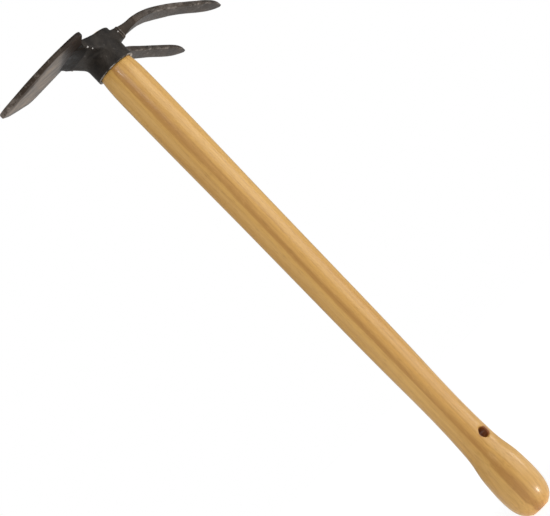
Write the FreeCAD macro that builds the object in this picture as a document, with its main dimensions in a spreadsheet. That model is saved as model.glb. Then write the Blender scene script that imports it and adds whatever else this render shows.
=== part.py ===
import FreeCAD, Part
import os
import re
import Sketcher
from FreeCAD import Placement, Rotation, Vector

# Grub hoe: a two-tined hoe head on a short ash handle, all sizes in millimetres.
# The origin is the middle of the handle's flat butt end, +Z runs up the handle to the
# head, +X points the way the blade points, and the tines point along -X.

doc = FreeCAD.newDocument("grub_hoe")
sizes = doc.addObject("Spreadsheet::Sheet", "sizes")

driving_sizes = {
    # handle, from the butt end up to the mouth of the eye
    "handle_length": 440.0,
    "shoulder_length": 9.0,
    "shoulder_ease": 0.35,
    "shoulder_lip": 0.4,
    "tenon_gap": 0.05,
    "tenon_proud": 0.6,
    "hang_hole_height": 67.0,
    "hang_hole_radius": 3.75,
    # eye of the head
    "eye_height": 27.0,
    "eye_radius": 16.3,
    "eye_bore_radius": 13.6,
    # squared back of the eye, where the tines are welded
    "seat_back": 13.8,
    "seat_bottom": 11.5,
    "seat_height": 11.5,
    # shank between the eye and the blade
    "shank_length": 27.6,
    "shank_rise": 0.8,
    "shank_foot_width": 30.0,
    "shank_foot_depth": 19.0,
    "shank_waist_reach": 15.0,
    "shank_waist_width": 26.5,
    "shank_waist_depth": 12.0,
    "shank_waist_round": 20.0,
    "shank_end_depth": 6.2,
    # blade
    "blade_root_width": 29.0,
    "blade_width": 78.6,
    "blade_length": 104.6,
    "blade_thickness": 3.8,
    "blade_shoulder_reach": 23.0,
    "blade_shoulder_round": 12.0,
    "blade_side_reach": 66.0,
    "blade_side_width": 51.0,
    "blade_side_round": 130.0,
    "blade_tip_round": 7.0,
    "blade_bend_radius": 811.0,
    "blade_slope": 4.5,
    # tines
    "tine_length": 115.4,
    "tine_point_width": 2.6,
    "tine_point_depth": 2.0,
    # welds
    "weld_width": 4.2,
    "weld_drop": 2.2,
    "weld_bead": 1.7,
    "weld_inset": 1.0,
    "tine_weld_length": 2.6,
    "tine_weld_thickness": 0.7,
    # wedges in the top of the tenon
    "wood_wedge_depth": 21.0,
    "wood_wedge_thickness": 3.6,
    "wood_wedge_point": 0.8,
    "steel_wedge_depth": 14.0,
    "steel_wedge_width": 15.0,
    "steel_wedge_thickness": 2.6,
    "steel_wedge_point": 0.6,
}

# Stations of the turned handle: height above the butt end and radius there.
handle_stations = {
    "butt": (0.0, 7.0),
    "butt_curve": (2.6, 11.4),
    "knob_curve": (8.5, 15.2),
    "knob_low": (18.0, 17.1),
    "knob_high": (34.0, 17.1),
    "knob_back": (45.5, 16.0),
    "flare": (54.0, 14.3),
    "throat_low": (66.0, 13.2),
    "throat": (94.0, 12.4),
    "throat_high": (134.0, 13.0),
    "grip_low": (184.0, 13.7),
    "grip": (242.0, 14.0),
    "grip_high": (328.0, 14.6),
    "head_low": (385.0, 15.2),
    "head_end": (418.0, 15.25),
}

# Stations of a tine, root to point: distance behind the handle's axis, distance to the
# side, height above the eye's mouth, width and depth of the bar.
tine_stations = {
    "tine_root": (7.0, 11.0, 17.0, 10.5, 7.6),
    "tine_knee": (15.0, 15.9, 17.3, 11.6, 7.0),
    "tine_bow": (24.0, 20.7, 17.7, 12.0, 5.8),
    "tine_back": (44.5, 23.4, 16.2, 11.8, 5.0),
    "tine_middle": (65.5, 24.7, 11.3, 11.4, 4.5),
    "tine_fall": (86.5, 25.7, 4.6, 11.0, 4.0),
    "tine_end": (103.0, 26.4, -1.0, 10.6, 3.5),
    "tine_nose": (111.0, 26.6, -3.8, 7.0, 2.9),
}
tine_point_side = 26.8
tine_point_height = -5.6


def fill_sheet():
    """Writes every driving size to the sheet as a plain number with an alias."""
    rows = dict(driving_sizes)
    for name, (height, radius) in handle_stations.items():
        rows[name + "_height"] = height
        rows[name + "_radius"] = radius
    for name, (behind, side, height, width, depth) in tine_stations.items():
        rows[name + "_behind"] = behind
        rows[name + "_side"] = side
        rows[name + "_height"] = height
        rows[name + "_width"] = width
        rows[name + "_depth"] = depth
    rows["tine_point_side"] = tine_point_side
    rows["tine_point_height"] = tine_point_height
    for row, (name, value) in enumerate(rows.items(), start=1):
        sizes.set("A%d" % row, name)
        sizes.set("B%d" % row, repr(value))
        sizes.setAlias("B%d" % row, name)
    doc.recompute()


fill_sheet()


def expression(text):
    """Turns the sheet's bare size names in an expression into references to the sheet."""
    def reference(match):
        known = sizes.getCellFromAlias(match.group()) is not None
        return "sizes." + match.group() if known else match.group()
    return re.sub(r"[A-Za-z_]\w*", reference, text)


def value(text):
    return float(sizes.evalExpression(expression(text)))


def bind(thing, prop, text):
    thing.setExpression(prop, expression(text))


def place(thing, x="0", y="0", z="0", turn=None):
    if turn is not None:
        thing.Placement = Placement(Vector(0, 0, 0), turn)
    for letter, text in (("x", x), ("y", y), ("z", z)):
        bind(thing, "Placement.Base." + letter, text)


def primitive(kind, name, **dims):
    thing = doc.addObject(kind, name)
    for prop, text in dims.items():
        bind(thing, prop, text)
    return thing


def cut(name, base, tool):
    result = doc.addObject("Part::Cut", name)
    result.Base = base
    result.Tool = tool
    return result


def together(kind, name, pieces):
    result = doc.addObject(kind, name)
    result.Shapes = pieces
    return result


def new_body(name):
    return doc.addObject("PartDesign::Body", name)


def new_sketch(body, name, role, offset="0"):
    """A sketch on one of the body's origin planes, moved along the plane's normal."""
    plane = [f for f in body.Origin.OriginFeatures if f.Role == role][0]
    sketch = body.newObject("Sketcher::SketchObject", name)
    sketch.AttachmentSupport = (plane, [""])
    sketch.MapMode = "FlatFace"
    bind(sketch, "AttachmentOffset.Base.z", offset)
    return sketch


def driven(sketch, text, *constraint):
    index = sketch.addConstraint(Sketcher.Constraint(*constraint, value(text)))
    bind(sketch, "Constraints[%d]" % index, text)


def circle(sketch, radius, across="0", up="0"):
    centre = Vector(value(across), value(up), 0)
    sketch.addGeometry(Part.Circle(centre, Vector(0, 0, 1), value(radius)))
    driven(sketch, radius, "Radius", 0)
    driven(sketch, across, "DistanceX", -1, 1, 0, 3)
    driven(sketch, up, "DistanceY", -1, 1, 0, 3)


def polygon(sketch, corners):
    """A closed outline whose corners' coordinates are bound to the sheet."""
    points = [Vector(value(across), value(up), 0) for across, up in corners]
    for index, point in enumerate(points):
        following = points[(index + 1) % len(points)]
        sketch.addGeometry(Part.LineSegment(point, following))
    for index in range(len(points)):
        following = (index + 1) % len(points)
        sketch.addConstraint(Sketcher.Constraint("Coincident", index, 2, following, 1))
    for index, (across, up) in enumerate(corners):
        driven(sketch, across, "DistanceX", -1, 1, index, 1)
        driven(sketch, up, "DistanceY", -1, 1, index, 1)


def block_section(sketch, middle, width, low, high):
    left = "%s - %s / 2" % (middle, width)
    right = "%s + %s / 2" % (middle, width)
    polygon(sketch, [(left, low), (right, low), (right, high), (left, high)])


def loft(body, name, sketches):
    feature = body.newObject("PartDesign::AdditiveLoft", name)
    feature.Profile = sketches[0]
    feature.Sections = sketches[1:]
    return feature


def upright_edges(shape, spots):
    """Names of the vertical edges that stand at the given places."""
    names = []
    for number, edge in enumerate(shape.Edges, start=1):
        ends = edge.Vertexes
        if len(ends) < 2 or abs(ends[0].Z - ends[-1].Z) < 1:
            continue
        if any(abs(ends[0].X - x) < 0.01 and abs(ends[0].Y - y) < 0.01 for x, y in spots):
            names.append("Edge%d" % number)
    return names


def round_uprights(body, name, base, radius, spots):
    doc.recompute()
    places = [(value(x), value(y)) for x, y in spots]
    feature = body.newObject("PartDesign::Fillet", name)
    feature.Base = (base, upright_edges(base.Shape, places))
    bind(feature, "Radius", radius)
    return feature


def turned_handle():
    """Ash handle: knob at the butt, waisted throat, straight grip and a tenon on top."""
    body = new_body("handle_blank")
    stations = [(name + "_height", name + "_radius") for name in handle_stations]
    stations.append(("handle_length - shoulder_length", "head_end_radius - shoulder_ease"))
    stations.append(("handle_length", tenon_radius + " + shoulder_lip"))
    sketches = []
    for number, (height, radius) in enumerate(stations):
        sketch = new_sketch(body, "handle_ring_%d" % number, "XY_Plane", height)
        circle(sketch, radius)
        sketches.append(sketch)
    loft(body, "handle_turning", sketches)

    ring = new_sketch(body, "tenon_ring", "XY_Plane", "handle_length")
    circle(ring, tenon_radius)
    tenon = body.newObject("PartDesign::Pad", "tenon")
    tenon.Profile = ring
    bind(tenon, "Length", "eye_height + tenon_proud")

    hole = new_sketch(body, "hang_hole_ring", "XZ_Plane")
    circle(hole, "hang_hole_radius", "0", "hang_hole_height")
    drilled = body.newObject("PartDesign::Pocket", "hang_hole")
    drilled.Profile = hole
    drilled.Type = "ThroughAll"
    drilled.Midplane = True
    return body


def wedge(name, across, depth, thickness, point):
    """A wedge with its thick end level with the tenon's top, tapering downwards."""
    tool = primitive(
        "Part::Wedge", name,
        Xmin="- %s / 2" % across, Xmax="%s / 2" % across,
        X2min="- %s / 2" % across, X2max="%s / 2" % across,
        Ymin="0", Ymax=depth,
        Zmin="- %s / 2" % point, Zmax="%s / 2" % point,
        Z2min="- %s / 2" % thickness, Z2max="%s / 2" % thickness)
    return tool


def eye_core():
    """Outside of the eye: a drum with a squared back, used to fit what is welded to it."""
    drum = primitive("Part::Cylinder", "eye_drum", Radius="eye_radius", Height="eye_height")
    place(drum, z="handle_length")
    seat = primitive("Part::Box", "tine_seat", Length="seat_back",
                     Width="2 * eye_radius", Height="seat_height")
    place(seat, "- seat_back", "- eye_radius", "handle_length + seat_bottom")
    return drum, seat


def shank():
    """Shank from the front of the eye out to the blade, waisted and rising below."""
    top = "handle_length + eye_height"
    plan = new_body("shank_plan")
    waist = ("shank_waist_reach", "shank_waist_width / 2")
    root = ("0", "shank_foot_width / 2")
    end = ("shank_length", "blade_root_width / 2")
    from_above = new_sketch(plan, "shank_from_above", "XY_Plane", "handle_length")
    polygon(from_above, [(root[0], "- " + root[1]), (waist[0], "- " + waist[1]),
                         (end[0], "- " + end[1]), end, waist, root])
    plan_pad = plan.newObject("PartDesign::Pad", "shank_plan_pad")
    plan_pad.Profile = from_above
    bind(plan_pad, "Length", "2 * eye_height")
    round_uprights(plan, "shank_waist_round", plan_pad, "shank_waist_round",
                   [waist, (waist[0], "- " + waist[1])])

    side = new_body("shank_side")
    from_side = new_sketch(side, "shank_from_side", "XZ_Plane")
    polygon(from_side, [("0", top + " - shank_foot_depth"),
                        ("shank_waist_reach", top + " - shank_waist_depth"),
                        ("shank_length", top + " + shank_rise - shank_end_depth"),
                        ("shank_length", top + " + shank_rise"), ("0", top)])
    side_pad = side.newObject("PartDesign::Pad", "shank_side_pad")
    side_pad.Profile = from_side
    side_pad.Midplane = True
    bind(side_pad, "Length", "2 * blade_root_width")
    return together("Part::MultiCommon", "shank", [plan, side])


def blade():
    """Shield-shaped blade plate, bent a little towards the butt."""
    body = new_body("blade_outline")
    root = "shank_length"
    shoulder = (root + " + blade_shoulder_reach", "blade_width / 2")
    side = (root + " + blade_side_reach", "blade_side_width / 2")
    tip = (root + " + blade_length", "0")
    corners = [(root, "- blade_root_width / 2"), (shoulder[0], "- " + shoulder[1]),
               (side[0], "- " + side[1]), tip, side, shoulder, (root, "blade_root_width / 2")]
    outline = new_sketch(body, "blade_outline_sketch", "XY_Plane",
                         "handle_length - eye_height")
    polygon(outline, corners)
    pad = body.newObject("PartDesign::Pad", "blade_prism")
    pad.Profile = outline
    bind(pad, "Length", "3 * eye_height")
    shoulders = round_uprights(body, "shoulder_round", pad, "blade_shoulder_round",
                               [shoulder, (shoulder[0], "- " + shoulder[1])])
    sides = round_uprights(body, "side_round", shoulders, "blade_side_round",
                           [side, (side[0], "- " + side[1])])
    round_uprights(body, "tip_round", sides, "blade_tip_round", [tip])

    skins = []
    for name, radius in (("blade_back", "blade_bend_radius"),
                         ("blade_front", "blade_bend_radius - blade_thickness")):
        skin = primitive("Part::Cylinder", name, Radius=radius, Height="2 * blade_width")
        place(skin, "%s - blade_bend_radius * sin(blade_slope * 1 deg)" % root,
              "blade_width",
              "handle_length + eye_height + shank_rise"
              " - blade_bend_radius * cos(blade_slope * 1 deg)",
              Rotation(Vector(1, 0, 0), 90))
        skins.append(skin)
    slab = cut("blade_slab", skins[0], skins[1])
    return together("Part::MultiCommon", "hoe_blade", [body, slab])


def tine_bar(label, side, skin="0"):
    """The bar of one tine, thicker all round by skin, from inside the eye to its point."""
    body = new_body(label)
    sketches = []
    sections = [(name + "_behind", name + "_side", name + "_height",
                 name + "_width", name + "_depth") for name in tine_stations]
    sections.append(("tine_length", "tine_point_side", "tine_point_height",
                     "tine_point_width", "tine_point_depth"))
    for number, (behind, out, height, width, depth) in enumerate(sections):
        sketch = new_sketch(body, "%s_section_%d" % (label, number), "YZ_Plane",
                            "- " + behind)
        middle = "handle_length + " + height
        block_section(sketch, "%d * %s" % (side, out), "(%s + 2 * %s)" % (width, skin),
                      "%s - %s / 2 - %s" % (middle, depth, skin),
                      "%s + %s / 2 + %s" % (middle, depth, skin))
        sketches.append(sketch)
    loft(body, label + "_loft", sketches)
    return body


def tine_weld(label, side, core, tine):
    """Weld bead that runs round the root of a tine, against the back of the eye."""
    slice_box = primitive("Part::Box", label + "_slice", Length="tine_weld_length",
                          Width="4 * eye_radius", Height="2 * eye_height")
    place(slice_box, "- seat_back - tine_weld_length", "- 2 * eye_radius",
          "handle_length - eye_height / 2")
    skin = tine_bar(label + "_skin", side, "tine_weld_thickness")
    bead = together("Part::MultiCommon", label + "_bead", [skin, slice_box])
    return cut(label, cut(label + "_fit", bead, tine), core)


tenon_radius = "eye_bore_radius - tenon_gap"
tenon_top = "handle_length + eye_height + tenon_proud"


def build():
    drum, seat = eye_core()
    core = together("Part::MultiFuse", "eye_core", [drum, seat])
    bore = primitive("Part::Cylinder", "eye_bore", Radius="eye_bore_radius",
                     Height="3 * eye_height")
    place(bore, z="handle_length - eye_height")
    blank = together("Part::MultiFuse", "head_blank", [core, shank()])
    head = cut("head_eye", blank, bore)
    plate = blade()
    nodes = [head, plate]

    # welds between the shank and the blade, above and below the plate
    lower_body = new_body("blade_weld_block")
    corner = new_sketch(lower_body, "blade_weld_corner", "XZ_Plane")
    below = "handle_length + eye_height + shank_rise - blade_thickness"
    polygon(corner, [("shank_length", below + " - weld_drop"),
                     ("shank_length + weld_width", below), ("shank_length", below)])
    pad = lower_body.newObject("PartDesign::Pad", "blade_weld_pad")
    pad.Profile = corner
    pad.Midplane = True
    bind(pad, "Length", "blade_root_width - 2 * weld_inset")
    nodes.append(cut("blade_weld_lower", lower_body, plate))
    roll = primitive("Part::Cylinder", "blade_weld_roll", Radius="weld_bead",
                     Height="blade_root_width - 2 * weld_inset")
    place(roll, "shank_length", "blade_root_width / 2 - weld_inset",
          "handle_length + eye_height + shank_rise - weld_bead / 2",
          Rotation(Vector(1, 0, 0), 90))
    nodes.append(cut("blade_weld_upper", cut("blade_weld_trim", roll, plate), head))

    for label, side in (("left_tine", 1), ("right_tine", -1)):
        tine = cut(label, tine_bar(label + "_bar", side), core)
        nodes.append(tine)
        nodes.append(tine_weld(label + "_weld", side, core, tine))

    wood_tool = wedge("wood_wedge_tool", "2 * eye_bore_radius", "wood_wedge_depth",
                      "wood_wedge_thickness", "wood_wedge_point")
    place(wood_tool, z=tenon_top + " - wood_wedge_depth",
          turn=Rotation(Vector(1, 0, 0), 90))
    steel_tool = wedge("steel_wedge", "steel_wedge_width", "steel_wedge_depth",
                       "steel_wedge_thickness", "steel_wedge_point")
    place(steel_tool, z=tenon_top + " - steel_wedge_depth",
          turn=Rotation(Vector(0, 0, 1), 90) * Rotation(Vector(1, 0, 0), 90))
    tenon_round = primitive("Part::Cylinder", "tenon_round", Radius=tenon_radius,
                            Height="eye_height + tenon_proud")
    place(tenon_round, z="handle_length")
    in_tenon = together("Part::MultiCommon", "wood_wedge_blank", [wood_tool, tenon_round])
    nodes.append(cut("wooden_wedge", in_tenon, steel_tool))
    nodes.append(steel_tool)
    kerfs = together("Part::MultiFuse", "wedge_kerfs", [wood_tool, steel_tool])
    nodes.append(cut("handle", turned_handle(), kerfs))
    return nodes


nodes = build()
doc.recompute()

for thing in doc.Objects:
    if "Invalid" in thing.State or "Error" in thing.State:
        raise RuntimeError("%s did not compute: %s" % (thing.Name, thing.State))
for node in nodes:
    if node.Shape.isNull() or not node.Shape.isValid():
        raise RuntimeError("%s has no valid shape" % node.Label)

os.makedirs("parts", exist_ok=True)
for node in nodes:
    node.Shape.exportStep("parts/%s.step" % node.Label)
    box = node.Shape.BoundBox
    print("%-18s %d solids %9.1f mm3  x %7.1f %7.1f  y %6.1f %6.1f  z %6.1f %6.1f" % (
        node.Label, len(node.Shape.Solids), node.Shape.Volume, box.XMin, box.XMax,
        box.YMin, box.YMax, box.ZMin, box.ZMax))
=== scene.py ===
import math
import bmesh
import bpy
import numpy as np
from mathutils import Matrix, Vector, noise


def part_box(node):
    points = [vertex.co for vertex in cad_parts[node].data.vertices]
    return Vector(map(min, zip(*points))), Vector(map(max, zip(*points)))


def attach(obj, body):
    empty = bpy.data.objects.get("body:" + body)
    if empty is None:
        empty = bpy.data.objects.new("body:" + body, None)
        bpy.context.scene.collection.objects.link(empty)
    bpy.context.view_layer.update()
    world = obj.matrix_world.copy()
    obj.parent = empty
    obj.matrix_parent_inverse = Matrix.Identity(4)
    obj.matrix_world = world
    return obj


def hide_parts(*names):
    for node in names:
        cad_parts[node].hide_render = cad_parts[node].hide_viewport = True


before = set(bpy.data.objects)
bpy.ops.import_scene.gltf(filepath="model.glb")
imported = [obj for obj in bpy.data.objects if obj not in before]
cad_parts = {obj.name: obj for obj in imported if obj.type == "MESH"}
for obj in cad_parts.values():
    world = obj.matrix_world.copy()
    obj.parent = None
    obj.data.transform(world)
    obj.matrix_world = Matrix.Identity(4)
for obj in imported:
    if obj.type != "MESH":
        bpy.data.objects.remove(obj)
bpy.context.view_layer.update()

mm = 0.001


def note(stage):
    print("scene:", stage)


def crossCut(nodeName, axis, at):
    # the box of a CAD node's section where it crosses one plane
    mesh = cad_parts[nodeName].data
    spots = np.empty(len(mesh.vertices) * 3)
    mesh.vertices.foreach_get("co", spots)
    spots = spots.reshape(-1, 3)
    ends = np.empty(len(mesh.edges) * 2, dtype=np.int64)
    mesh.edges.foreach_get("vertices", ends)
    a, b = spots[ends[0::2]], spots[ends[1::2]]
    crossing = (a[:, axis] - at) * (b[:, axis] - at) < 0
    a, b = a[crossing], b[crossing]
    share = (at - a[:, axis]) / (b[:, axis] - a[:, axis])
    cut = a + (b - a) * share[:, None]
    return cut.min(axis=0), cut.max(axis=0)


def makePiece(name, spots, faces):
    mesh = bpy.data.meshes.new(name)
    mesh.from_pydata([tuple(s) for s in spots], [], faces)
    mesh.update()
    piece = bpy.data.objects.new(name, mesh)
    bpy.context.scene.collection.objects.link(piece)
    return piece


def smoothShade(piece, sharpAngle=35):
    piece.data.shade_smooth()
    piece.data.set_sharp_from_angle(angle=math.radians(sharpAngle))


def finishMesh(piece):
    # runs the live modifiers into a plain mesh
    dg = bpy.context.evaluated_depsgraph_get()
    done = bpy.data.meshes.new_from_object(piece.evaluated_get(dg))
    piece.modifiers.clear()
    old = piece.data
    piece.data = done
    done.name = piece.name
    bpy.data.meshes.remove(old)
    return piece


def drop(*pieces):
    for piece in pieces:
        bpy.data.objects.remove(piece)


def carve(piece, tool):
    cut = piece.modifiers.new("carve", "BOOLEAN")
    cut.operation, cut.solver, cut.object = "DIFFERENCE", "EXACT", tool
    finishMesh(piece)
    drop(tool)


def outwards(piece):
    # merges doubles and turns every face outwards
    bm = bmesh.new()
    bm.from_mesh(piece.data)
    bmesh.ops.remove_doubles(bm, verts=bm.verts, dist=0.00001)
    bmesh.ops.recalc_face_normals(bm, faces=bm.faces)
    bm.to_mesh(piece.data)
    bm.free()


def lathe(name, profile, segments=96, centre=(0, 0), axis="Z"):
    # turns a list of (radius, height) round an axis; a radius of 0 closes an end
    spots, rings = [], []
    for radius, height in profile:
        ring = []
        count = 1 if radius < 1e-9 else segments
        for k in range(count):
            a = 2 * math.pi * k / segments
            across, up = radius * math.cos(a), radius * math.sin(a)
            if axis == "Z":
                spots.append((centre[0] + across, centre[1] + up, height))
            else:
                spots.append((centre[0] + across, height, centre[1] + up))
            ring.append(len(spots) - 1)
        rings.append(ring)
    faces = []
    for low, high in zip(rings, rings[1:]):
        for k in range(segments):
            a, b = low[k % len(low)], low[(k + 1) % len(low)]
            c, d = high[(k + 1) % len(high)], high[k % len(high)]
            face = [v for i, v in enumerate((a, b, c, d)) if v not in (a, b, c, d)[:i]]
            if len(face) > 2:
                faces.append(face)
    piece = makePiece(name, spots, faces)
    outwards(piece)
    return piece


def sweep(name, sections):
    # skins a list of closed point loops that all have the same count, and closes both ends
    count = len(sections[0])
    spots = [p for loop in sections for p in loop]
    faces = []
    for s in range(len(sections) - 1):
        for k in range(count):
            n = (k + 1) % count
            faces.append((s * count + k, s * count + n, (s + 1) * count + n, (s + 1) * count + k))
    for start, loop in ((0, sections[0]), ((len(sections) - 1) * count, sections[-1])):
        spots.append(tuple(np.mean(np.array(loop), axis=0)))
        hub = len(spots) - 1
        faces += [(start + k, start + (k + 1) % count, hub) for k in range(count)]
    piece = makePiece(name, spots, faces)
    outwards(piece)
    return piece


def roundedLoop(halfWide, halfDeep, corner, perCorner=5, perSide=8):
    # a rounded rectangle as (across, up) points, with points along its wide sides too
    corner = min(corner, halfWide * 0.98, halfDeep * 0.98)
    loop = []
    for turn, (sx, sy) in enumerate(((1, 1), (-1, 1), (-1, -1), (1, -1))):
        cx, cy = sx * (halfWide - corner), sy * (halfDeep - corner)
        for k in range(perCorner + 1):
            a = math.pi / 2 * (turn + k / perCorner)
            loop.append((cx + corner * math.cos(a), cy + corner * math.sin(a)))
        if turn in (0, 2):
            reach = halfWide - corner
            for k in range(1, perSide):
                loop.append((sx * reach * (1 - 2 * k / perSide), sy * halfDeep))
    return loop


def spread(low, high, count):
    return [low + (high - low) * k / (count - 1) for k in range(count)]


def setUp(tree, kind, values=None, **props):
    # adds a node, sets its properties, and fills or links its inputs
    node = tree.nodes.new(kind)
    for name, value in props.items():
        setattr(node, name, value)
    for socket, value in (values or {}).items():
        if hasattr(value, "is_output"):
            tree.links.new(value, node.inputs[socket])
        else:
            node.inputs[socket].default_value = value
    return node


def newTree(name, **inputs):
    # a Geometry Nodes tree with named inputs
    kinds = {"whole": "NodeSocketInt", "size": "NodeSocketFloat", "object": "NodeSocketObject",
             "material": "NodeSocketMaterial"}
    tree = bpy.data.node_groups.new(name, "GeometryNodeTree")
    tree.interface.new_socket("Geometry", in_out="INPUT", socket_type="NodeSocketGeometry")
    for label, kind in inputs.items():
        tree.interface.new_socket(label, in_out="INPUT", socket_type=kinds[kind])
    tree.interface.new_socket("Geometry", in_out="OUTPUT", socket_type="NodeSocketGeometry")
    return tree, tree.nodes.new("NodeGroupInput").outputs


def endTree(tree, geometry, material):
    real = setUp(tree, "GeometryNodeRealizeInstances", {0: geometry})
    painted = setUp(tree, "GeometryNodeSetMaterial", {0: real.outputs[0], 2: material})
    out = tree.nodes.new("NodeGroupOutput")
    tree.links.new(painted.outputs[0], out.inputs[0])


def runTree(piece, tree, **values):
    # sets the tree's inputs by identifier, evaluates it once, and keeps the plain mesh
    modifier = piece.modifiers.new(tree.name, "NODES")
    modifier.node_group = tree
    for item in tree.interface.items_tree:
        if item.in_out == "INPUT" and item.name in values:
            modifier[item.identifier] = values[item.name]
    return finishMesh(piece)


def newMaterial(name):
    material = bpy.data.materials.new(name)
    material.use_nodes = True
    tree = material.node_tree
    tree.nodes.clear()
    out = tree.nodes.new("ShaderNodeOutputMaterial")
    skin = tree.nodes.new("ShaderNodeBsdfPrincipled")
    tree.links.new(skin.outputs[0], out.inputs[0])
    return material, tree, skin


def place(tree, scale=(1, 1, 1), turn=(0, 0, 0)):
    # where a point lies in the object, stretched and turned for a pattern
    where = setUp(tree, "ShaderNodeTexCoord")
    return setUp(tree, "ShaderNodeMapping", {
        "Vector": where.outputs["Object"], "Scale": scale,
        "Rotation": tuple(math.radians(t) for t in turn)}).outputs[0]


def noiseOf(tree, vector, scale, detail=3.0, rough=0.5, twist=0.0):
    return setUp(tree, "ShaderNodeTexNoise", {
        "Vector": vector, "Scale": scale, "Detail": detail,
        "Roughness": rough, "Distortion": twist}).outputs["Fac"]


def ramp(tree, fac, *stops):
    node = setUp(tree, "ShaderNodeValToRGB", {"Fac": fac})
    band = node.color_ramp
    while len(band.elements) < len(stops):
        band.elements.new(0.5)
    for element, (at, colour) in zip(band.elements, stops):
        element.position = at
        shade = colour if isinstance(colour, tuple) else (colour, colour, colour)
        element.color = (*shade, 1)
    return node.outputs["Color"]


def mix(tree, fac, a, b):
    node = setUp(tree, "ShaderNodeMix", data_type="RGBA")
    for socket, value in ((0, fac), (6, a), (7, b)):
        if hasattr(value, "is_output"):
            tree.links.new(value, node.inputs[socket])
        elif socket:
            node.inputs[socket].default_value = (*value, 1)
        else:
            node.inputs[socket].default_value = value
    return node.outputs[2]


def sums(tree, operation, *values):
    return setUp(tree, "ShaderNodeMath", dict(enumerate(values)), operation=operation).outputs[0]


def times(tree, a, b):
    return sums(tree, "MULTIPLY", a, b)


def plus(tree, a, b):
    return sums(tree, "ADD", a, b)


def minus(tree, a, b):
    return sums(tree, "SUBTRACT", a, b)


def larger(tree, a, b):
    return sums(tree, "MAXIMUM", a, b)


def swayed(tree, value, cloud, reach):
    # moves a value to and fro by a noise, by up to half the reach each way
    return plus(tree, value, times(tree, minus(tree, cloud, 0.5), reach))


def between(tree, value, low, high, fromShade=0.0, toShade=1.0):
    # eases from one shade to the other while the value goes from low to high
    return setUp(tree, "ShaderNodeMapRange", {
        "Value": value, "From Min": low, "From Max": high,
        "To Min": fromShade, "To Max": toShade}, interpolation_type="SMOOTHSTEP").outputs[0]


def bump(tree, height, strength, distance):
    return setUp(tree, "ShaderNodeBump", {
        "Height": height, "Strength": strength, "Distance": distance}).outputs[0]


def axisOf(tree, letter, vector=None):
    where = vector or setUp(tree, "ShaderNodeTexCoord").outputs["Object"]
    return setUp(tree, "ShaderNodeSeparateXYZ", {0: where}).outputs[letter]


cameraValues = {"azimuth": 37.8, "elevation": -4.3, "roll": 44.0, "distance": 1.479,
                "aim": (0.019, -0.001, 0.259), "lens": 135.5}


def setCamera():
    c = cameraValues
    a, e, r = (math.radians(c[k]) for k in ("azimuth", "elevation", "roll"))
    back = Vector((math.cos(a) * math.cos(e), math.sin(a) * math.cos(e), math.sin(e)))
    side = Vector((0, 0, 1)).cross(back).normalized()
    up = back.cross(side)
    tiltedUp = up * math.cos(r) + side * math.sin(r)
    right = tiltedUp.cross(back)
    camera = bpy.data.objects.new("camera", bpy.data.cameras.new("camera"))
    bpy.context.scene.collection.objects.link(camera)
    turn = Matrix((right, tiltedUp, back)).transposed().to_4x4()
    camera.matrix_world = Matrix.Translation(Vector(c["aim"]) + back * c["distance"]) @ turn
    camera.data.lens = c["lens"]
    camera.data.clip_start = 0.05
    camera.data.clip_end = 50
    bpy.context.scene.camera = camera
    return right, tiltedUp, back


# lamps: power, way to the right, up and back, distance and size
# glints: the lit spot in mm, the way to the lamp, its distance, its size per distance and its glow
lightValues = {"dome": 0.34, "background": 1.0,
               "lamps": {"key": (11.0, (0.8, 0.75, 0.4), 1.3, 1.3),
                         "fill": (1.5, (-0.9, -0.55, 0.35), 1.4, 0.9),
                         "front": (4.0, (-0.25, 0.5, 1.0), 1.9, 0.7)},
               "glints": (((6.6, 14.2, 11.1), (-0.1, 0.9, -0.42), 0.02, 0.32, 80.0),
                          ((1.2, 16.6, 38.7), (-0.71, 0.71, 0.05), 0.25, 0.22, 16.0),
                          ((11.1, 8.4, 439.0), (0.76, 0.56, 0.33), 0.3, 0.1, 60.0)),
               "floorHalf": 6.0, "floorShade": 0.8, "floorGlow": 0.74, "nearGlow": 0.6,
               "floorBounce": 0.5}


def addLamp(name, power, size, spot, towards):
    # an area lamp at a spot, facing back along the way given
    lamp = bpy.data.lights.new(name, "AREA")
    lamp.energy, lamp.size = power, size
    stand = bpy.data.objects.new(name, lamp)
    bpy.context.scene.collection.objects.link(stand)
    stand.location = spot
    stand.rotation_mode = "QUATERNION"
    stand.rotation_quaternion = towards.to_track_quat("Z", "Y")
    return stand


def makeFloor():
    # white to the camera, paler grey near the object so that its shadow shows, clear from below
    v = lightValues
    h = v["floorHalf"]
    floor = makePiece("floor", [(-h, -h, 0), (h, -h, 0), (h, h, 0), (-h, h, 0)], [(0, 1, 2, 3)])
    material, tree, skin = newMaterial("floorPaint")
    skin.inputs["Base Color"].default_value = (v["floorShade"],) * 3 + (1,)
    skin.inputs["Roughness"].default_value = 0.9
    skin.inputs["Emission Color"].default_value = (1, 1, 1, 1)
    seen = tree.nodes.new("ShaderNodeLightPath").outputs["Is Camera Ray"]
    away = setUp(tree, "ShaderNodeVectorMath", {0: place(tree)}, operation="LENGTH")
    shown = between(tree, away.outputs["Value"], 0.1, 0.5, v["nearGlow"], v["floorGlow"])
    glow = setUp(tree, "ShaderNodeMapRange", {
        "Value": seen, "To Min": v["floorBounce"], "To Max": shown})
    tree.links.new(glow.outputs[0], skin.inputs["Emission Strength"])
    under = setUp(tree, "ShaderNodeNewGeometry").outputs["Backfacing"]
    clear = tree.nodes.new("ShaderNodeBsdfTransparent").outputs[0]
    paint = setUp(tree, "ShaderNodeMixShader", {0: under, 1: skin.outputs[0], 2: clear})
    tree.links.new(paint.outputs[0], tree.nodes["Material Output"].inputs[0])
    floor.data.materials.append(material)


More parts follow.
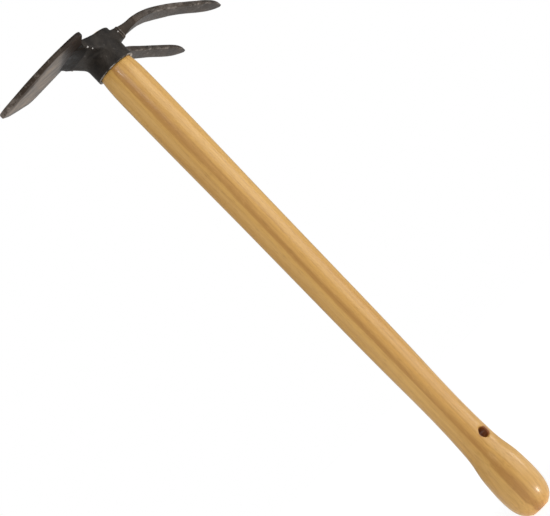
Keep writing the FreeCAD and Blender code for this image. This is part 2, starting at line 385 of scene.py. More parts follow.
def setLight(right, up, back):
    v = lightValues
    world = bpy.data.worlds.new("studio")
    bpy.context.scene.world = world
    world.use_nodes = True
    tree = world.node_tree
    tree.nodes.clear()
    path = tree.nodes.new("ShaderNodeLightPath")
    strength = setUp(tree, "ShaderNodeMapRange", {
        "Value": path.outputs["Is Camera Ray"], "To Min": v["dome"], "To Max": v["background"]})
    sky = setUp(tree, "ShaderNodeBackground", {
        "Color": (1, 1, 1, 1), "Strength": strength.outputs[0]})
    out = tree.nodes.new("ShaderNodeOutputWorld")
    tree.links.new(sky.outputs[0], out.inputs[0])
    middle = Vector(cameraValues["aim"])
    for name, (power, way, far, size) in v["lamps"].items():
        towards = (way[0] * right + way[1] * up + way[2] * back).normalized()
        addLamp(name, power, size, middle + towards * far, towards)
    # small lamps that only show as glints in the lacquer, on the knob and by the head
    for onto, way, off, wide, glow in v["glints"]:
        spot = Vector(onto) * mm + Vector(way) * off
        stand = addLamp("glint", glow * (off * wide) ** 2, off * wide, spot, Vector(way))
        stand.visible_camera = stand.visible_diffuse = False
    makeFloor()
    bpy.context.scene.view_settings.view_transform = "Standard"


ashValues = {"ringScale": 105.0, "ringBend": 5.0, "ringStrength": 0.16, "broadScale": 60.0,
             "streakScale": 380.0, "poreScale": 1200.0, "fleckScale": 800.0,
             "pale": (0.74, 0.432, 0.112), "honey": (0.65, 0.345, 0.07),
             "brown": (0.4, 0.165, 0.022), "pore": (0.27, 0.105, 0.018),
             "bandAngle": 36.0, "bandHalf": 4.2, "bandStrength": 0.66,
             "bandSway": 9.0, "bandDrift": 16.0,
             "lacquer": 0.42, "lacquerRough": 0.16,
             "hole": (1.7, 67.2, 5.1), "holeStretch": 1.25, "holeStainAndShade": (0.31, 0.098, 0.022)}


def paintedReflectionBand(tree, v, here, streak, broad):
    # a painted dark reflection: one darker band down one side of the handle, wandering a little
    a = math.radians(v["bandAngle"])
    x, y = axisOf(tree, "X", here), axisOf(tree, "Y", here)
    facing = plus(tree, times(tree, x, math.cos(a)), times(tree, y, math.sin(a)))
    off = minus(tree, times(tree, y, math.cos(a)), times(tree, x, math.sin(a)))
    line = swayed(tree, swayed(tree, off, streak, v["bandSway"] * mm), broad, v["bandDrift"] * mm)
    half = v["bandHalf"] * mm
    band = times(tree, between(tree, line, -half - 1.5 * mm, -half + 1.3 * mm),
                 between(tree, line, half + 2.4 * mm, -half * 0.4))
    return times(tree, band, between(tree, facing, 0.0, 7 * mm))


def holeGrimeAndShade(tree, v, here):
    # grime and painted shade: dark inside the hang hole, and a little way round the side that the
    # hook wears
    across, up, radius = v["hole"]
    side = sums(tree, "SIGN", axisOf(tree, "Y", here))
    dx = minus(tree, times(tree, axisOf(tree, "X", here), side), across * mm)
    dz = times(tree, minus(tree, axisOf(tree, "Z", here), up * mm), v["holeStretch"])
    away = sums(tree, "SQRT", plus(tree, times(tree, dx, dx), times(tree, dz, dz)))
    return between(tree, away, (radius + 0.5) * mm, (radius - 0.4) * mm, 0.0, 0.94)


def ashWood(name, v):
    material, tree, skin = newMaterial(name)
    here = place(tree)
    broad = noiseOf(tree, place(tree, (1, 1, 0.06), (0, 0, 10)), v["broadScale"], 2.0, 0.5)
    ring = setUp(tree, "ShaderNodeTexWave", {
        "Vector": place(tree, (1, 1, 0.03), (0, 0, 24)), "Scale": v["ringScale"],
        "Distortion": v["ringBend"], "Detail": 3.0, "Detail Scale": 0.6},
        wave_type="BANDS", wave_profile="SAW").outputs["Fac"]
    pores = noiseOf(tree, place(tree, (1, 1, 0.09)), v["poreScale"], 4.0, 0.68)
    flecks = noiseOf(tree, place(tree, (1, 1, 0.2)), v["fleckScale"], 3.0, 0.62)
    streak = noiseOf(tree, place(tree, (1, 1, 0.018)), v["streakScale"], 3.0, 0.6)
    wood = mix(tree, ramp(tree, broad, (0.34, 0.0), (0.68, 1.0)), v["pale"], v["honey"])
    rings = times(tree, ramp(tree, ring, (0.5, 0.0), (0.97, 1.0)), v["ringStrength"])
    wood = mix(tree, rings, wood, v["brown"])
    # a painted dark reflection down one side of the handle, in the darker brown
    if v["bandStrength"]:
        band = paintedReflectionBand(tree, v, here, streak, broad)
        wood = mix(tree, times(tree, band, v["bandStrength"]), wood, v["brown"])
    for pattern, start, end, strength, colour in ((streak, (0.36, 1.0), (0.5, 0.0), 0.26, "brown"),
                                                  (flecks, (0.58, 0.0), (0.7, 1.0), 0.34, "pale"),
                                                  (pores, (0.53, 0.0), (0.68, 1.0), 0.3, "pore")):
        wood = mix(tree, times(tree, ramp(tree, pattern, start, end), strength), wood, v[colour])
    # grime and painted shade inside the hang hole
    if v["hole"]:
        wood = mix(tree, holeGrimeAndShade(tree, v, here), wood, v["holeStainAndShade"])
    tree.links.new(wood, skin.inputs["Base Color"])
    tree.links.new(between(tree, pores, 0.3, 0.7, 0.4, 0.56), skin.inputs["Roughness"])
    relief = plus(tree, times(tree, pores, -1.0), times(tree, ring, -0.25))
    tree.links.new(bump(tree, relief, 0.3, 0.00014), skin.inputs["Normal"])
    skin.inputs["Coat Weight"].default_value = v["lacquer"]
    skin.inputs["Coat Roughness"].default_value = v["lacquerRough"]
    return material


wedgeWoodValues = {**ashValues, "ringScale": 190.0, "ringBend": 3.0, "ringStrength": 0.4,
                   "pale": (0.46, 0.27, 0.13), "honey": (0.36, 0.2, 0.09),
                   "brown": (0.24, 0.12, 0.05), "pore": (0.12, 0.05, 0.02),
                   "bandStrength": 0.0, "lacquer": 0.0, "hole": None}

# lip: the tone of the mouth's rim, scraped bare and carrying a painted highlight
blackSteelValues = {"paint": (0.006, 0.0052, 0.0046), "dust": (0.042, 0.034, 0.027),
                    "rub": (0.2, 0.18, 0.16), "lip": (0.46, 0.43, 0.39), "rubbing": 0.35,
                    "cloudScale": 90.0, "speckScale": 900.0, "rubScale": 260.0,
                    "chipScale": 240.0, "lipScale": 110.0, "gloss": 0.26,
                    "tint": (1.0, 0.9, 0.82), "rough": 0.36, "edgeWear": 0.0}
tineSteelValues = {**blackSteelValues, "paint": (0.014, 0.0105, 0.008),
                   "dust": (0.058, 0.041, 0.03), "rub": (0.34, 0.3, 0.27), "rubbing": 0.6,
                   "speckScale": 700.0, "gloss": 0.45, "tint": (1.0, 0.84, 0.7),
                   "rough": 0.28, "edgeWear": 0.8}


def blackSteel(name, v, lip=None):
    # satin black over forge scale: speckled, a little brown, bare where it is rubbed
    material, tree, skin = newMaterial(name)
    here = place(tree)
    cloud = noiseOf(tree, here, v["cloudScale"], 4.0, 0.55, 0.4)
    speck = noiseOf(tree, here, v["speckScale"], 3.0, 0.6)
    grime = mix(tree, ramp(tree, cloud, (0.38, 0.0), (0.7, 0.75)), v["paint"], v["dust"])
    shade = mix(tree, ramp(tree, speck, (0.5, 0.0), (0.72, 0.45)), grime, v["dust"])
    rubbed = noiseOf(tree, here, v["rubScale"], 4.0, 0.65)
    bare = times(tree, ramp(tree, rubbed, (0.62, 0.0), (0.74, 1.0)), v["rubbing"])
    if v["edgeWear"]:  # bare where the corners have rubbed through
        corner = setUp(tree, "ShaderNodeAttribute", attribute_name="corner").outputs["Fac"]
        chips = noiseOf(tree, place(tree, (0.4, 0.8, 0.8)), v["chipScale"], 5.0, 0.7)
        worn = times(tree, between(tree, corner, 0.06, 0.42), between(tree, chips, 0.45, 0.66))
        bare = larger(tree, bare, times(tree, worn, v["edgeWear"]))
    tone = v["rub"]
    if lip is not None:  # the mouth's rim is scraped where the handle went in, and painted lighter as a painted highlight where its end face catches the light
        edge = between(tree, axisOf(tree, "Z"), lip + 0.8 * mm, lip + 0.2 * mm)
        patchy = noiseOf(tree, here, v["lipScale"], 3.0, 0.6)
        ragged = times(tree, edge, between(tree, patchy, 0.42, 0.6))
        tone = mix(tree, edge, v["rub"], v["lip"])
        bare = larger(tree, bare, ragged)
    tree.links.new(mix(tree, bare, shade, tone), skin.inputs["Base Color"])
    tree.links.new(between(tree, bare, 0.0, 1.0, 0.0, 0.8), skin.inputs["Metallic"])
    roughness = between(tree, speck, 0.3, 0.7, v["rough"], v["rough"] + 0.2)
    tree.links.new(roughness, skin.inputs["Roughness"])
    skin.inputs["Specular IOR Level"].default_value = v["gloss"]
    skin.inputs["Specular Tint"].default_value = (*v["tint"], 1)
    relief = plus(tree, times(tree, cloud, 1.6), times(tree, speck, 0.22))
    tree.links.new(bump(tree, relief, 0.5, 0.00035), skin.inputs["Normal"])
    return material


bladeSteelValues = {"scale": (0.036, 0.026, 0.019), "bare": (0.32, 0.272, 0.235),
                    "rootDark": (0.0105, 0.0052, 0.0034), "rootDarkFrom": 23.0, "rootDarkTo": 13.0,
                    "rootDarkSkew": 0.8, "darkRim": 5.0,
                    "sideDark": 0.62, "sideDarkFrom": 26.0, "sideDarkTo": 8.0,
                    "cloudScale": 60.0, "speckScale": 800.0,
                    "brushScale": 700.0, "streakScale": 210.0,
                    "rubScale": 260.0, "rimWear": 1.0, "tipScale": 220.0, "tipWear": 14.0,
                    "gloss": 0.22, "tint": (1.0, 0.88, 0.76)}


def bladeSteel(name, v, rootAt, tipAt):
    # dark on the back and edges, rubbed bare on the face towards the butt, darker near the root
    material, tree, skin = newMaterial(name)
    here = place(tree)
    x, y = axisOf(tree, "X"), axisOf(tree, "Y")
    along = place(tree, (0.1, 1, 1))
    cloud = noiseOf(tree, here, v["cloudScale"], 4.0, 0.6, 0.6)
    speck = noiseOf(tree, here, v["speckScale"], 3.0, 0.6)
    brushed = noiseOf(tree, along, v["brushScale"], 3.0, 0.6)
    streaks = noiseOf(tree, along, v["streakScale"], 3.0, 0.6)
    facing = setUp(tree, "ShaderNodeNewGeometry").outputs["Normal"]
    under = between(tree, axisOf(tree, "Z", facing), -0.55, -0.93)
    fromEdge = setUp(tree, "ShaderNodeAttribute", attribute_name="fromEdge").outputs["Fac"]
    ragged = swayed(tree, fromEdge, cloud, 7.0)
    inside = between(tree, ragged, v["darkRim"] * 0.45, v["darkRim"], 0.3, 1.0)
    # darker along one side of the outer half
    frayed = swayed(tree, fromEdge, cloud, 16.0)
    sideDark = between(tree, frayed, v["sideDarkFrom"], v["sideDarkTo"], 0.0, v["sideDark"])
    sideDark = times(tree, sideDark, between(tree, y, -8 * mm, 6 * mm))
    sideDark = times(tree, sideDark, between(tree, x, tipAt - 45 * mm, tipAt - 28 * mm))
    shine = times(tree, under, inside)
    for share in (between(tree, cloud, 0.3, 0.6, 0.6, 1.0),
                  between(tree, brushed, 0.36, 0.62, 0.35, 1.0),
                  between(tree, streaks, 0.4, 0.58, 0.35, 1.0),
                  minus(tree, 1.0, sideDark)):
        shine = times(tree, shine, share)
    rubbed = noiseOf(tree, here, v["rubScale"], 4.0, 0.65)
    rim = times(tree, between(tree, fromEdge, v["rimWear"], 0.15),
                between(tree, rubbed, 0.54, 0.68, 0.0, 0.3))
    dug = noiseOf(tree, here, v["tipScale"], 4.0, 0.65)
    worn = times(tree, between(tree, x, tipAt - v["tipWear"] * mm, tipAt),
                 between(tree, dug, 0.4, 0.6, 0.2, 1.0))
    shine = larger(tree, larger(tree, shine, rim), worn)
    # darker near the root, reaching further towards one side
    reach = minus(tree, swayed(tree, x, cloud, -12 * mm), times(tree, y, v["rootDarkSkew"]))
    nearRoot = between(tree, reach, rootAt + v["rootDarkFrom"] * mm, rootAt + v["rootDarkTo"] * mm)
    steel = mix(tree, shine, v["scale"], v["bare"])
    steel = mix(tree, times(tree, nearRoot, 0.95), steel, v["rootDark"])
    steel = mix(tree, ramp(tree, speck, (0.56, 0.0), (0.76, 0.5)), steel, v["scale"])
    tree.links.new(steel, skin.inputs["Base Color"])
    bareness = times(tree, shine, minus(tree, 1.0, nearRoot))
    tree.links.new(between(tree, bareness, 0.0, 1.0, 0.0, 0.85), skin.inputs["Metallic"])
    skin.inputs["Specular IOR Level"].default_value = v["gloss"]
    skin.inputs["Specular Tint"].default_value = (*v["tint"], 1)
    roughness = between(tree, brushed, 0.25, 0.75, 0.32, 0.5)
    roughness = plus(tree, roughness, times(tree, sideDark, 0.75))
    tree.links.new(roughness, skin.inputs["Roughness"])
    relief = plus(tree, times(tree, cloud, 1.3), times(tree, brushed, 0.12))
    tree.links.new(bump(tree, relief, 0.5, 0.0004), skin.inputs["Normal"])
    return material


weldSteelValues = {"metallic": 0.5, "gloss": 0.3,
                   "tones": ((0.3, (0.04, 0.033, 0.028)), (0.5, (0.14, 0.115, 0.095)),
                             (0.72, (0.5, 0.46, 0.42)))}
fillSteelValues = {"metallic": 0.0, "gloss": 0.14,
                   "tones": ((0.35, (0.005, 0.0042, 0.0036)), (0.6, (0.012, 0.0088, 0.0068)),
                             (0.8, (0.045, 0.034, 0.027)))}


def weldMetal(name, v):
    material, tree, skin = newMaterial(name)
    cloud = noiseOf(tree, place(tree), 420, 4.0, 0.6)
    tree.links.new(ramp(tree, cloud, *v["tones"]), skin.inputs["Base Color"])
    skin.inputs["Metallic"].default_value = v["metallic"]
    skin.inputs["Specular IOR Level"].default_value = v["gloss"]
    tree.links.new(between(tree, cloud, 0.3, 0.7, 0.3, 0.55), skin.inputs["Roughness"])
    tree.links.new(bump(tree, cloud, 0.5, 0.0003), skin.inputs["Normal"])
    return material


def bareSteel(name, tone=(0.5, 0.49, 0.47)):
    material, tree, skin = newMaterial(name)
    scratch = noiseOf(tree, place(tree, (1, 0.1, 1)), 1400, 3.0, 0.6)
    tree.links.new(mix(tree, between(tree, scratch, 0.3, 0.7), tone, tuple(0.7 * t for t in tone)),
                   skin.inputs["Base Color"])
    skin.inputs["Metallic"].default_value = 0.9
    tree.links.new(between(tree, scratch, 0.3, 0.7, 0.28, 0.45), skin.inputs["Roughness"])
    return material


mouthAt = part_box("head_eye")[0][2]
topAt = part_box("handle")[1][2]
bladeLow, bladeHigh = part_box("hoe_blade")
ash = ashWood("ashWood", ashValues)
wedgeWood = ashWood("wedgeWood", wedgeWoodValues)
headSteel = blackSteel("headSteel", blackSteelValues, lip=mouthAt)
tineSteel = blackSteel("tineSteel", tineSteelValues)
plateSteel = bladeSteel("plateSteel", bladeSteelValues, bladeLow[0], bladeHigh[0])
weldSteel = weldMetal("weldSteel", weldSteelValues)
fillSteel = weldMetal("fillSteel", fillSteelValues)
wedgeSteel = bareSteel("wedgeSteel")
ballSteel = bareSteel("ballSteel", (0.6, 0.57, 0.54))
note("materials")


def finishPiece(piece, material, slotName, *nodes):
    piece.data.materials.clear()
    piece.data.materials.append(material)
    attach(piece, "root")
    if nodes:
        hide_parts(*nodes)


handleValues = {"rings": 230, "segments": 112, "tenonChamfer": 0.3, "holeRadius": 3.75,
                "holeHeight": 67.0, "holeFlare": 0.6, "flareDepth": 1.2, "wear": 2.9, "waver": 0.12}


def turningTree():
    # turns the radius stored on each point of a straight line into a solid
    tree, given = newTree("turnOnLathe", Segments="whole", Wood="material")
    radius = setUp(tree, "GeometryNodeInputNamedAttribute", {0: "turnedRadius"}).outputs[0]
    line = setUp(tree, "GeometryNodeMeshToCurve", {0: given["Geometry"]}).outputs[0]
    ring = setUp(tree, "GeometryNodeCurvePrimitiveCircle", {0: given["Segments"], 4: 1.0})
    solid = setUp(tree, "GeometryNodeCurveToMesh", {0: line, 1: ring.outputs[0], 2: radius, 3: True})
    endTree(tree, solid.outputs[0], given["Wood"])
    return tree


def turn(name, profile, segments, material):
    spots = [(0, 0, height) for radius, height in profile]
    line = makePiece(name, spots, [])
    line.data.edges.add(len(spots) - 1)
    for k in range(len(spots) - 1):
        line.data.edges[k].vertices = (k, k + 1)
    stored = line.data.attributes.new("turnedRadius", "FLOAT", "POINT")
    stored.data.foreach_set("value", [radius for radius, height in profile])
    runTree(line, turningTree(), Segments=segments, Wood=material)
    outwards(line)
    return line


def makeHandle():
    v = handleValues
    profile = []
    for z in spread(0.15 * mm, mouthAt - 0.15 * mm, v["rings"]):
        low, high = crossCut("handle", 2, z)
        profile.append(((high[0] - low[0]) / 2, z))
    profile[0] = (profile[0][0], 0.0)
    tenonLow, tenonHigh = crossCut("handle", 2, (mouthAt + topAt) / 2)
    tenon = (tenonHigh[0] - tenonLow[0]) / 2
    chamfer = v["tenonChamfer"] * mm
    profile += [(profile[-1][0] - 0.1 * mm, mouthAt), (tenon, mouthAt + 0.01 * mm),
                (tenon, topAt - chamfer), (tenon - chamfer, topAt)]
    piece = turn("handleAsh", profile, v["segments"], ash)
    for vertex in piece.data.vertices:  # hand-sanded: not quite true
        if 4 * mm < vertex.co.z < mouthAt - 12 * mm:
            drift = noise.noise(Vector((vertex.co.x * 30, vertex.co.y * 30, vertex.co.z * 14)))
            vertex.co.xy *= 1 + v["waver"] * mm * drift / max(vertex.co.xy.length, 1 * mm)
    low, high = crossCut("handle", 2, v["holeHeight"] * mm + 5 * mm)
    half = (high[0] - low[0]) / 2
    r, flare, deep = (v[k] * mm for k in ("holeRadius", "holeFlare", "flareDepth"))
    easing = [(r + flare * (1 - math.sin(math.pi / 2 * k / 8)), -half + deep * k / 8)
              for k in range(9)]
    rim = [(0.0, -2 * half), (r + flare, -2 * half), (r + flare, -half - 0.2 * mm)] + easing
    rim += [(radius, -y) for radius, y in reversed(rim)]
    drill = lathe("drill", rim, 64, (0, v["holeHeight"] * mm), "Y")
    for vertex in drill.data.vertices:  # worn to one side by the hook
        side = math.copysign(1, vertex.co.y)
        worn = min(max((abs(vertex.co.y) - 8.5 * mm) / (4.5 * mm), 0), 1)
        worn *= worn * (3 - 2 * worn)
        vertex.co.x = vertex.co.x * (1 + 0.1 * worn) + side * v["wear"] * mm * worn
        vertex.co.z += (0.16 * (vertex.co.z - v["holeHeight"] * mm) + 0.5 * mm) * worn
    carve(piece, drill)
    for node in ("wooden_wedge", "steel_wedge"):
        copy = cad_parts[node].copy()
        copy.data = copy.data.copy()
        bpy.context.scene.collection.objects.link(copy)
        outwards(copy)
        for vertex in copy.data.vertices:  # clears the tenon's top face
            if vertex.co.z > topAt - 0.05 * mm:
                vertex.co.z += 1 * mm
        carve(piece, copy)
    smoothShade(piece, 32)
    finishPiece(piece, ash, "ash", "handle")


makeHandle()
note("handle")


headValues = {"voxel": 0.5, "soften": 7, "blend": 70, "drumRadius": 16.2, "topRound": 1.3,
              "eyeHeight": 27.0, "shankClear": 17.5,
              "footHalf": 14.6, "footDepth": 18.5, "seatBack": -13.7, "seatHalf": 15.6,
              "seatLow": 12.3, "seatHigh": 23.0, "boreRadius": 13.6, "lipEase": 0.55, "dents": 0.16}


def makeHead():
    v = headValues
    low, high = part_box("head_eye")
    top = low[2] + v["eyeHeight"] * mm
    r, ease = v["drumRadius"] * mm, v["topRound"] * mm
    crown = [(r - ease * (1 - math.cos(a)), top - ease * (1 - math.sin(a)))
             for a in spread(0, math.pi / 2, 7)]
    drum = lathe("drum", [(0, low[2] - 3 * mm), (r, low[2] - 3 * mm)] + crown + [(0, top)], 96)
    # the shank: measured off the CAD where it stands clear of the eye, carried on into it
    clear = v["shankClear"] * mm
    start, stop = crossCut("head_eye", 0, clear)
    loops = []
    for x in spread(0.0, high[0] - 0.02 * mm, 80):
        if x < clear:
            share = x / clear
            half = v["footHalf"] * mm * (1 - share) + (stop[1] - start[1]) / 2 * share
            under = (top - v["footDepth"] * mm) * (1 - share) + start[2] * share
            over = (top - 0.3 * mm) * (1 - share) + stop[2] * share
        else:
            near, far = crossCut("head_eye", 0, x)
            half, under, over = (far[1] - near[1]) / 2, near[2], far[2]
        loops.append([(x, across, (under + over) / 2 + up)
                      for across, up in roundedLoop(half, (over - under) / 2, 1.0 * mm)])
    shank = sweep("shank", loops)
    # the flat seat at the back that the tines are welded to
    middle, half = (v["seatLow"] + v["seatHigh"]) / 2, (v["seatHigh"] - v["seatLow"]) / 2
    seat = sweep("seat", [[(x * mm, across, low[2] + middle * mm + up)
                           for across, up in roundedLoop(v["seatHalf"] * mm, half * mm, 1.0 * mm)]
                          for x in (v["seatBack"], -8, -4)])
    for part in (shank, seat):
        join = drum.modifiers.new("join", "BOOLEAN")
        join.operation, join.solver, join.object = "UNION", "EXACT", part
    grid = drum.modifiers.new("grid", "REMESH")
    grid.mode, grid.voxel_size = "VOXEL", v["voxel"] * mm
    finishMesh(drum)
    drop(shank, seat)
    # the forging flows from eye to shank: smoothed hard under the shank, lightly elsewhere
    valley = drum.vertex_groups.new(name="valley")
    for vertex in drum.data.vertices:
        x, y, z = vertex.co / mm
        z -= low[2] / mm
        along = min(max((x - 3) / 5, 0), 1) * min(max((26.5 - x) / 4, 0), 1)
        below = min(max((24.5 - z) / 3, 0), 1)
        if along * below > 0:
            valley.add([vertex.index], along * below, "REPLACE")
    blend = drum.modifiers.new("blend", "SMOOTH")
    blend.factor, blend.iterations, blend.vertex_group = 0.5, v["blend"], "valley"
    soft = drum.modifiers.new("soft", "SMOOTH")
    soft.factor, soft.iterations = 0.5, v["soften"]
    finishMesh(drum)
    drum.vertex_groups.clear()
    for vertex in drum.data.vertices:
        n = noise.noise(vertex.co * 170) + 0.5 * noise.noise(vertex.co * 420)
        vertex.co += vertex.normal * n * v["dents"] * mm * 0.5
    # squares the mouth off and bores the eye
    wide = (-50 * mm, 50 * mm)
    corners = [(x, y, z) for z in (low[2] - 9 * mm, low[2]) for y in wide for x in wide]
    sides = [(0, 1, 3, 2), (4, 6, 7, 5), (0, 4, 5, 1), (1, 5, 7, 3), (3, 7, 6, 2), (2, 6, 4, 0)]
    saw = makePiece("saw", corners, sides)
    outwards(saw)
    carve(drum, saw)
    b, e = v["boreRadius"] * mm, v["lipEase"] * mm
    bore = lathe("bore", [(0, low[2] - 1 * mm), (b + e + 1 * mm, low[2] - 1 * mm), (b, low[2] + e),
                          (b, top + 1 * mm), (b, top + 3 * mm), (0, top + 3 * mm)], 96)
    carve(drum, bore)
    drum.name = "headForging"
    smoothShade(drum, 40)
    finishPiece(drum, headSteel, "black_steel", "head_eye")
    return drum


headForging = makeHead()
note("head")


bladeValues = {"stations": 130, "edgeRound": 1.1, "dents": 0.12}


def makeBlade():
    v = bladeValues
    low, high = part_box("hoe_blade")
    loops, margins = [], []
    length = high[0] - low[0]
    for k in range(v["stations"]):
        share = 1 - (1 - k / (v["stations"] - 1)) ** 1.6 if k else 0.0
        x = low[0] + 0.02 * mm + (length - 0.06 * mm) * share
        near, far = crossCut("hoe_blade", 0, x)
        half = (far[1] - near[1]) / 2
        thick, middle = (far[2] - near[2]) / 2, (far[2] + near[2]) / 2
        loop = []
        for across, up in roundedLoop(half, thick, v["edgeRound"] * mm, 4, 44):
            p = Vector((x, across, middle + up))
            p.z += v["dents"] * mm * noise.noise(Vector((p.x * 60, p.y * 60, up * 300)))
            loop.append(tuple(p))
            margins.append(min(half - abs(across), (high[0] - x) * 1.4))
        loops.append(loop)
    piece = sweep("bladePlate", loops)
    # how far each point lies in from the outline, for the finish
    stored = piece.data.attributes.new("fromEdge", "FLOAT", "POINT")
    values = (margins + [0.0, 0.0])[:len(piece.data.vertices)]
    stored.data.foreach_set("value", [m / mm for m in values])
    smoothShade(piece, 40)
    finishPiece(piece, plateSteel, "blade_steel", "hoe_blade")


makeBlade()
note("blade")


# the run of metal from the shank into the blade
fillValues = {"onShank": 9.0, "onBlade": 9.5, "half": 13.9, "sink": 0.35, "stations": 44}


def makeBladeFill():
    v = fillValues
    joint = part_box("hoe_blade")[0][0]
    half = v["half"] * mm
    loops = []
    for y in spread(-half, half, v["stations"]):
        across = abs(y) / half
        taper = math.sqrt(max(0.0, 1 - across ** 5)) * 0.92 + 0.08
        wander = 1 + 0.1 * noise.noise(Vector((y * 260, 0.3, 0)))
        backX = joint - v["onShank"] * mm * taper * wander
        foreX = joint + v["onBlade"] * mm * taper * (2 - wander)
        under = crossCut("head_eye", 0, min(backX, joint - 0.1 * mm))[0][2]
        a = Vector((backX, under + v["sink"] * mm))
        b = Vector((foreX, crossCut("hoe_blade", 0, foreX)[0][2] + v["sink"] * mm))
        shankEnd = crossCut("head_eye", 0, joint - 0.1 * mm)[0][2]
        c = Vector((joint - 0.4 * mm, shankEnd - 0.2 * mm))
        skin = []
        for t in spread(0, 1, 15):  # a hollow curve that leaves both faces gently
            p = a * (1 - t) ** 2 + c * 2 * t * (1 - t) + b * t * t
            skin.append((p.x, y, p.y))
        inner = [(b.x - 1 * mm, y, b.y + 0.9 * mm), (joint, y, shankEnd + 1.8 * mm),
                 (a.x + 1 * mm, y, a.y + 0.9 * mm)]
        loops.append(skin + inner)
    piece = sweep("bladeFill", loops)
    smoothShade(piece, 50)
    finishPiece(piece, fillSteel, "weld_metal", "blade_weld_lower")


makeBladeFill()
note("blade root")


tineValues = {"stations": 100, "edgeRound": 0.9, "crown": 0.5, "dents": 0.12, "short": 1.4,
              "rootAt": -13.2, "rootOuter": 15.9, "rootInner": 5.0, "clearAt": -22.0,
              "rootLow": 12.6, "rootHigh": 22.6, "flareTo": -20.0}


def tineSection(side, node, x):
    # across and up centres, and half sizes, of the bar at one place
    v = tineValues
    clear, root = v["clearAt"] * mm, v["rootAt"] * mm
    near, far = crossCut(node, 0, min(x, clear))
    outer, inner = (far[1], near[1]) if side > 0 else (-near[1], -far[1])
    under, over = near[2], far[2]
    if x > clear:
        share = min(1.0, (x - clear) / (root - clear))
        slope = 0.5 * (x - clear)
        ease = share * share * (3 - 2 * share)
        outer = outer * (1 - share) + v["rootOuter"] * mm * share
        inner = (inner - slope) * (1 - ease) + v["rootInner"] * mm * ease
    if x > v["flareTo"] * mm:  # the root spreads over the height of the seat
        flare = min(1.0, (x / mm - v["flareTo"]) / (v["rootAt"] - v["flareTo"])) ** 1.7
        under = under * (1 - flare) + (mouthAt + v["rootLow"] * mm) * flare
        over = over * (1 - flare) + (mouthAt + v["rootHigh"] * mm) * flare
    return side * (outer + inner) / 2, (over + under) / 2, (outer - inner) / 2, (over - under) / 2


def makeTine(side, node, name):
    v = tineValues
    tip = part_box(node)[0][0]
    first, last = (v["rootAt"] + 1.5) * mm, tip + v["short"] * mm
    loops, corners = [], []
    for k in range(v["stations"]):
        x = first + (last - first) * (1 - (1 - k / (v["stations"] - 1)) ** 1.25)
        pull = v["short"] * mm * (k / (v["stations"] - 1)) ** 3
        across, up, half, deep = tineSection(side, node, max(x - pull, tip + 0.12 * mm))
        fade = min(1.0, max(0.0, k / v["stations"] - 0.12) / 0.12)  # corners wear clear of the root
        loop = []
        for w, d in roundedLoop(half, deep, min(v["edgeRound"] * mm, deep * 0.45), 5, 10):
            swell = v["crown"] * mm * (1 - (w / half) ** 2) * min(1.0, deep / (2 * mm))
            p = Vector((x, across + w, up + d + math.copysign(swell, d) * 0.4))
            p.z += v["dents"] * mm * noise.noise(p * 130)
            loop.append(tuple(p))
            corners.append(fade * min(abs(w) / half, 1.0) ** 8 * min(abs(d) / deep, 1.0) ** 3)
        loops.append(loop)
    piece = sweep(name, loops)
    stored = piece.data.attributes.new("corner", "FLOAT", "POINT")
    stored.data.foreach_set("value", (corners + [0.0, 0.0])[:len(piece.data.vertices)])
    smoothShade(piece, 45)
    finishPiece(piece, tineSteel, "black_steel", node)


makeTine(1, "left_tine", "leftTineBar")
makeTine(-1, "right_tine", "rightTineBar")
note("tines")


weldValues = {"ripple": 0.6, "radius": 0.62, "seed": 5,
              "capRipple": 1.15, "capRadius": 1.5, "capSeed": 3}
# each patch of spatter: from and to along X, across, and how far below the top it starts and ends
spatterValues = {"radius": 0.66, "density": 24000.0, "seed": 4,
                 "patches": ((8, 27, 13.4, 11.5, 5.0), (14, 27, -13.4, 11, 4), (-19, -12, 16, 15, 5))}


def rippleTree():
    # lays overlapping ripples of weld metal along a seam
    tree, given = newTree("weldRipples", Spacing="size", Radius="size", Seed="whole",
                          Metal="material")
    seam = setUp(tree, "GeometryNodeMeshToCurve", {0: given["Geometry"]}).outputs[0]
    stops = setUp(tree, "GeometryNodeResampleCurve", {0: seam, 3: given["Spacing"]},
                  mode="LENGTH").outputs[0]
    ball = setUp(tree, "GeometryNodeMeshUVSphere", {0: 14, 1: 9, 2: given["Radius"]}).outputs[0]
    along = tree.nodes.new("GeometryNodeInputTangent").outputs[0]
    turned = setUp(tree, "FunctionNodeAlignRotationToVector", {2: along}, axis="Z").outputs[0]
    size = setUp(tree, "FunctionNodeRandomValue",
                 {0: (0.86, 0.86, 0.6), 1: (1.14, 1.14, 0.85), 8: given["Seed"]},
                 data_type="FLOAT_VECTOR").outputs[0]
    laid = setUp(tree, "GeometryNodeInstanceOnPoints", {0: stops, 2: ball, 5: turned, 6: size})
    endTree(tree, laid.outputs[0], given["Metal"])
    return tree


def seamLine(name, spots, closed):
    line = makePiece(name, spots, [])
    count = len(spots) if closed else len(spots) - 1
    line.data.edges.add(count)
    for k in range(count):
        line.data.edges[k].vertices = (k, (k + 1) % len(spots))
    return line


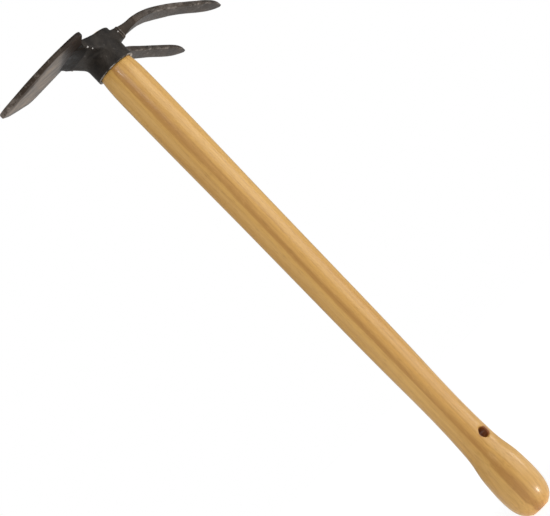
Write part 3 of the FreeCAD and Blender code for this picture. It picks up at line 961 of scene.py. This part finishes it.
def makeWelds():
    v = weldValues
    ripples = rippleTree()
    low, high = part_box("blade_weld_upper")
    half, middle = (high[1] - low[1]) / 2 - 1.5 * mm, (low[0] + high[0]) / 2
    spots = [(middle + 0.25 * mm * math.sin(y * 900), y, high[2] - 1.25 * mm)
             for y in spread(-half, half, 40)]
    cap = seamLine("capWeld", spots, False)
    runTree(cap, ripples, Spacing=v["capRipple"] * mm, Radius=v["capRadius"] * mm,
            Seed=v["capSeed"], Metal=weldSteel)
    smoothShade(cap, 60)
    finishPiece(cap, weldSteel, "weld_metal", "blade_weld_upper")
    for side, node, bar, name in ((1, "left_tine_weld", "left_tine", "leftTineBead"),
                                  (-1, "right_tine_weld", "right_tine", "rightTineBead")):
        x = headValues["seatBack"] * mm - 0.15 * mm
        across, up, wide, deep = tineSection(side, bar, x)
        spots = [(x, across + w, up + d)
                 for w, d in roundedLoop(wide + 0.1 * mm, deep + 0.1 * mm, 1.4 * mm, 5, 8)]
        bead = seamLine(name, spots, True)
        runTree(bead, ripples, Spacing=v["ripple"] * mm, Radius=v["radius"] * mm,
                Seed=v["seed"] + side, Metal=weldSteel)
        smoothShade(bead, 60)
        finishPiece(bead, weldSteel, "weld_metal", node)


def spatterTree():
    # throws small beads over a patch and drops each onto the metal below it
    tree, given = newTree("spatter", Density="size", Radius="size", Seed="whole", Metal="material",
                          Onto="object")
    spots = setUp(tree, "GeometryNodeDistributePointsOnFaces",
                  {0: given["Geometry"], 4: given["Density"], 6: given["Seed"]}).outputs[0]
    onto = setUp(tree, "GeometryNodeObjectInfo", {0: given["Onto"]},
                 transform_space="RELATIVE").outputs["Geometry"]
    nearest = setUp(tree, "GeometryNodeProximity", {0: onto}, target_element="FACES").outputs[0]
    landed = setUp(tree, "GeometryNodeSetPosition", {0: spots, 2: nearest}).outputs[0]
    bead = setUp(tree, "GeometryNodeMeshUVSphere", {0: 12, 1: 8, 2: given["Radius"]}).outputs[0]
    size = setUp(tree, "FunctionNodeRandomValue", {2: 0.45, 3: 1.35, 8: given["Seed"]},
                 data_type="FLOAT").outputs[1]
    laid = setUp(tree, "GeometryNodeInstanceOnPoints", {0: landed, 2: bead, 6: size}).outputs[0]
    endTree(tree, laid, given["Metal"])
    return tree


def makeSpatter():
    v = spatterValues
    top = topAt - 1 * mm
    spots = []
    for x0, x1, y, z0, z1 in v["patches"]:
        square = ((x0, z0), (x1, z0), (x1, z1), (x0, z1))
        spots += [(x * mm, y * mm, top - z * mm) for x, z in square]
    faces = [(k, k + 1, k + 2, k + 3) for k in range(0, len(spots), 4)]
    patch = makePiece("spatter", spots, faces)
    runTree(patch, spatterTree(), Density=v["density"], Radius=v["radius"] * mm,
            Seed=v["seed"], Metal=ballSteel, Onto=headForging)
    smoothShade(patch, 60)
    finishPiece(patch, ballSteel, "bare_steel")


makeWelds()
makeSpatter()
note("welds")


# the wedges keep their CAD shape
for node, material in (("wooden_wedge", wedgeWood), ("steel_wedge", wedgeSteel)):
    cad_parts[node].data.materials.clear()
    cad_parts[node].data.materials.append(material)
note("wedges")

setLight(*setCamera())
note("camera and light")
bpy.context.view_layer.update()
note("done")
